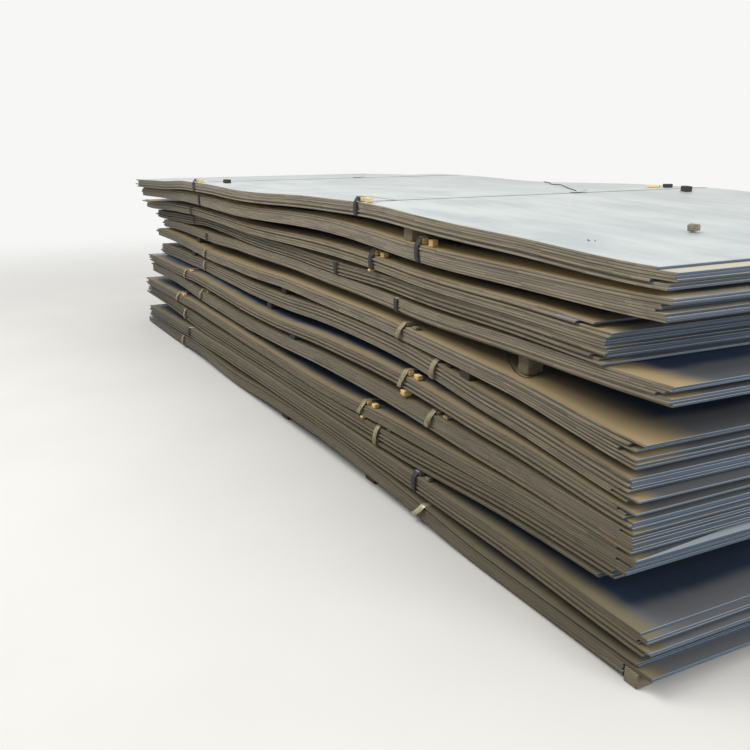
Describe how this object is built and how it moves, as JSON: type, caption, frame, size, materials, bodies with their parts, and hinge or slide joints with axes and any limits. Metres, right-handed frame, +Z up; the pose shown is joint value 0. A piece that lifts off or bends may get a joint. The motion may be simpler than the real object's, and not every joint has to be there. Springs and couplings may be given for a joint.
{
  "type": "stack of strapped steel plate bundles",
  "caption": "Hot-rolled steel plates strapped into wavy bundles with steel bands and wood pads, stacked on spacers and floor dunnage for storage",
  "frame": {"origin": "on the floor, under the middle of the stack's box in plan", "axes": "+X along the plates to the near end of the picture, +Y across them away from the picture's long side, +Z up"},
  "size_m": [6.4758, 2.4264, 1.3723],
  "materials": {
    "plate_steel": "hot-rolled mill scale, dusty",
    "strap_steel_blued": "blued strapping",
    "strap_steel_zinc": "zinc-coated strapping",
    "pad_wood": "sawn softwood",
    "spacer_wood": "weathered sawn softwood"
  },
  "bodies": {
    "root": {"bundle_01_plates": "plate_steel", "bundle_01_straps": "strap_steel_zinc", "bundle_02_plates": "plate_steel", "bundle_02_straps": "strap_steel_blued", "bundle_02_wood_pads": "pad_wood", "bundle_03_plates": "plate_steel", "bundle_03_straps": "strap_steel_zinc", "bundle_03_wood_pads": "pad_wood", "bundle_04_plates": "plate_steel", "bundle_04_straps": "strap_steel_zinc", "bundle_04_wood_pads": "pad_wood", "bundle_05_plates": "plate_steel", "bundle_05_straps": "strap_steel_zinc", "bundle_05_wood_pads": "pad_wood", "bundle_06_plates": "plate_steel", "bundle_06_straps": "strap_steel_zinc", "bundle_06_wood_pads": "pad_wood", "bundle_07_plates": "plate_steel", "bundle_07_straps": "strap_steel_zinc", "bundle_07_wood_pads": "pad_wood", "bundle_08_plates": "plate_steel", "bundle_08_straps": "strap_steel_zinc", "bundle_08_wood_pads": "pad_wood", "bundle_09_plates": "plate_steel", "bundle_09_straps": "strap_steel_blued", "bundle_10_plates": "plate_steel", "bundle_10_straps": "strap_steel_blued", "bundle_11_plates": "plate_steel", "bundle_11_straps": "strap_steel_blued", "bundle_11_wood_pads": "pad_wood", "bundle_12_plates": "plate_steel", "bundle_12_straps": "strap_steel_blued", "bundle_12_wood_pads": "pad_wood", "bundle_13_plates": "plate_steel", "bundle_13_straps": "strap_steel_blued", "bundle_13_wood_pads": "pad_wood", "floor_dunnage": "spacer_wood", "loose_packing_wood": "pad_wood", "spacers_under_bundle_02": "spacer_wood", "spacers_under_bundle_03": "spacer_wood", "spacers_under_bundle_04": "spacer_wood", "spacers_under_bundle_05": "spacer_wood", "spacers_under_bundle_06": "spacer_wood", "spacers_under_bundle_07": "spacer_wood", "spacers_under_bundle_08": "spacer_wood", "spacers_under_bundle_09": "spacer_wood", "spacers_under_bundle_10": "spacer_wood", "spacers_under_bundle_11": "spacer_wood", "spacers_under_bundle_12": "spacer_wood", "spacers_under_bundle_13": "spacer_wood", "strap_seals": "strap_steel_blued"}
  },
  "joints": []
}
